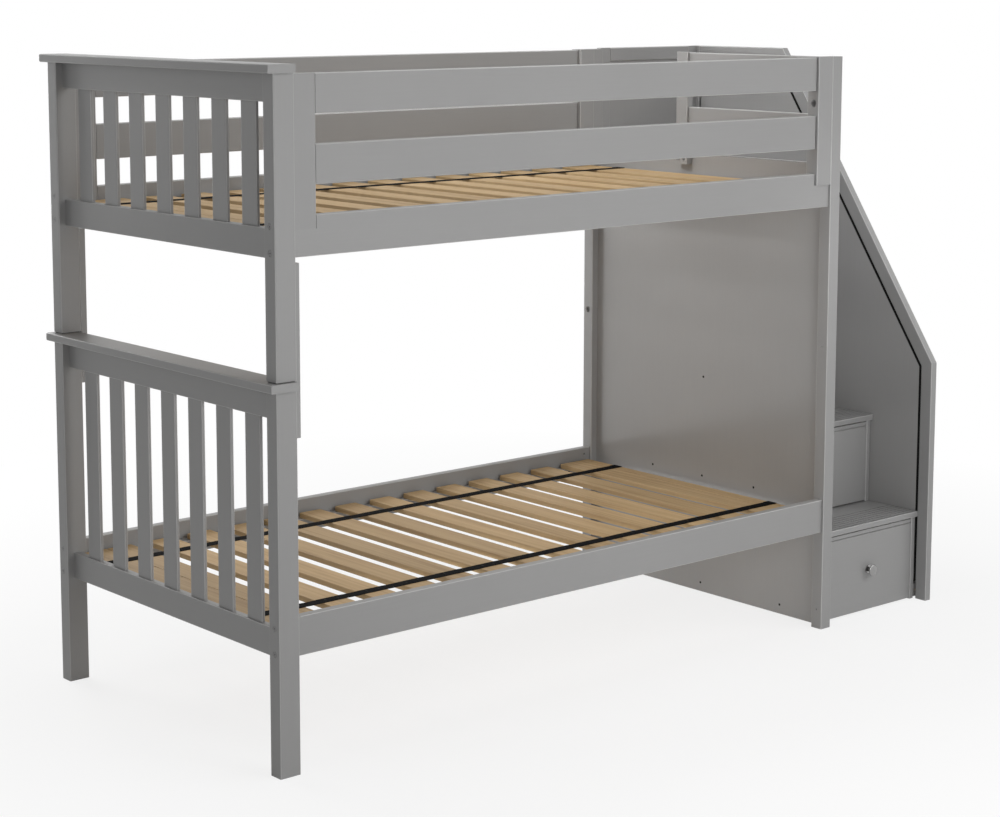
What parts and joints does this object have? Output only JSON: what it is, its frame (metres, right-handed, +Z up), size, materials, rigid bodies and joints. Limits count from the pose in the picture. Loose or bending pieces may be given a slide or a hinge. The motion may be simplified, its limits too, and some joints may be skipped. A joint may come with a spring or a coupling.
{
  "type": "bunk bed with stairs",
  "caption": "Wooden bunk bed with slatted end panel, two slat decks, guard boards and a closed drawer staircase at one end.",
  "frame": {"origin": "floor under the middle of the whole bed's box", "axes": "+X along the bed towards the stairs, +Y from the front to the rear, +Z up"},
  "size_m": [2.581, 1.096, 1.7805],
  "materials": {
    "painted_wood": "satin grey paint",
    "pine_slat": "sanded pine",
    "bare_wood": "planed bare wood",
    "black_webbing": "woven",
    "zinc_steel": "zinc plated",
    "black_steel": "black phosphate",
    "coated_steel": "grey powder coat",
    "nickel": "polished nickel"
  },
  "bodies": {
    "frame": {"barrel_nuts": "zinc_steel", "bed_side_panel": "painted_wood", "connector_bolts": "coated_steel", "dowels": "bare_wood", "drawer_runners": "bare_wood", "end_guard_boards": "painted_wood", "end_guard_post": "painted_wood", "front_guard_boards": "painted_wood", "front_guard_post": "painted_wood", "front_guard_stile": "painted_wood", "lower_end_bottom_rail": "painted_wood", "lower_end_cap": "painted_wood", "lower_end_slats": "painted_wood", "lower_end_top_rail": "painted_wood", "lower_post_front": "painted_wood", "lower_post_rear": "painted_wood", "lower_rail_front": "painted_wood", "lower_rail_rear": "painted_wood", "lower_slats": "pine_slat", "rear_guard_boards": "painted_wood", "rear_guard_post": "painted_wood", "rear_guard_stile": "painted_wood", "rear_wall_frame": "painted_wood", "rear_wall_panel": "painted_wood", "slat_ledgers": "painted_wood", "slat_straps": "black_webbing", "stair_cleats": "painted_wood", "stair_post_front": "painted_wood", "stair_post_rear": "painted_wood", "stair_treads": "painted_wood", "step_stiles": "painted_wood", "tie_boards": "painted_wood", "upper_end_bottom_rail": "painted_wood", "upper_end_cap": "painted_wood", "upper_end_slats": "painted_wood", "upper_end_top_rail": "painted_wood", "upper_post_front": "painted_wood", "upper_post_rear": "painted_wood", "upper_rail_front": "painted_wood", "upper_rail_rear": "painted_wood", "upper_slats": "pine_slat", "wall_bottom_rail": "painted_wood", "wall_front_stile": "painted_wood", "wall_panel": "painted_wood", "wall_rear_stile": "painted_wood", "wall_slant_rail": "painted_wood", "wall_top_rail": "painted_wood", "wood_screws": "black_steel"},
    "drawer_1": {"drawer_1_box": "bare_wood", "drawer_1_front": "painted_wood", "drawer_1_knob": "nickel"},
    "drawer_2": {"drawer_2_box": "bare_wood", "drawer_2_front": "painted_wood", "drawer_2_knob": "nickel"},
    "drawer_3": {"drawer_3_box": "bare_wood", "drawer_3_front": "painted_wood", "drawer_3_knob": "nickel"},
    "drawer_4": {"drawer_4_box": "bare_wood", "drawer_4_front": "painted_wood", "drawer_4_knob": "nickel"}
  },
  "joints": [
    {"name": "drawer_1_slide", "type": "slide", "parent": "frame", "child": "drawer_1", "axis": [0, -1, 0], "range_m": [0, 0.3]},
    {"name": "drawer_2_slide", "type": "slide", "parent": "frame", "child": "drawer_2", "axis": [0, -1, 0], "range_m": [0, 0.3]},
    {"name": "drawer_3_slide", "type": "slide", "parent": "frame", "child": "drawer_3", "axis": [0, -1, 0], "range_m": [0, 0.3]},
    {"name": "drawer_4_slide", "type": "slide", "parent": "frame", "child": "drawer_4", "axis": [0, -1, 0], "range_m": [0, 0.3]}
  ]
}
